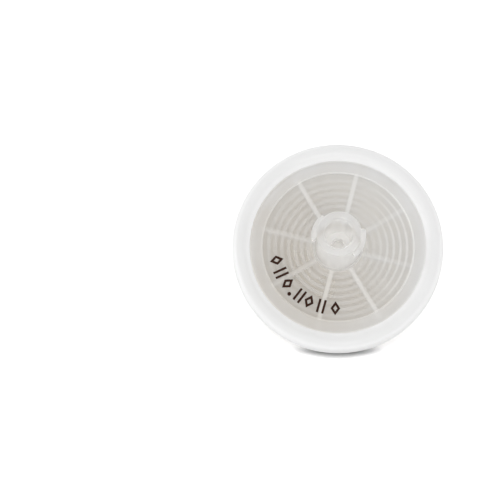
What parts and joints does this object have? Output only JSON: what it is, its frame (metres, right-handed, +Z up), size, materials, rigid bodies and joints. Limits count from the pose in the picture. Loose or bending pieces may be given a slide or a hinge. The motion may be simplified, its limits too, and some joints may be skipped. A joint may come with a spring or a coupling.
{
  "type": "syringe filter",
  "caption": "Disc syringe filter: translucent shells clamping a membrane, a moulded rim, a female luer lock inlet and a male luer slip outlet.",
  "frame": {"origin": "on the bench under the middle of the filter's box, as it lies on its rim and outlet tip", "axes": "+Z up; the filter's own axis lies in the YZ plane, and its inlet points to -Y and up at 41 degrees to the bench; +X along the disc's level diameter"},
  "size_m": [0.0314, 0.0252, 0.0251],
  "materials": {
    "shell": "milky translucent moulded plastic, satin gloss",
    "rim": "white translucent moulded plastic, satin gloss",
    "membrane": "matt filter membrane",
    "ink": "dark brown printed marks"
  },
  "bodies": {
    "root": {"inlet_shell": "shell", "outlet_shell": "shell", "membrane": "membrane", "rim": "rim"}
  },
  "joints": []
}
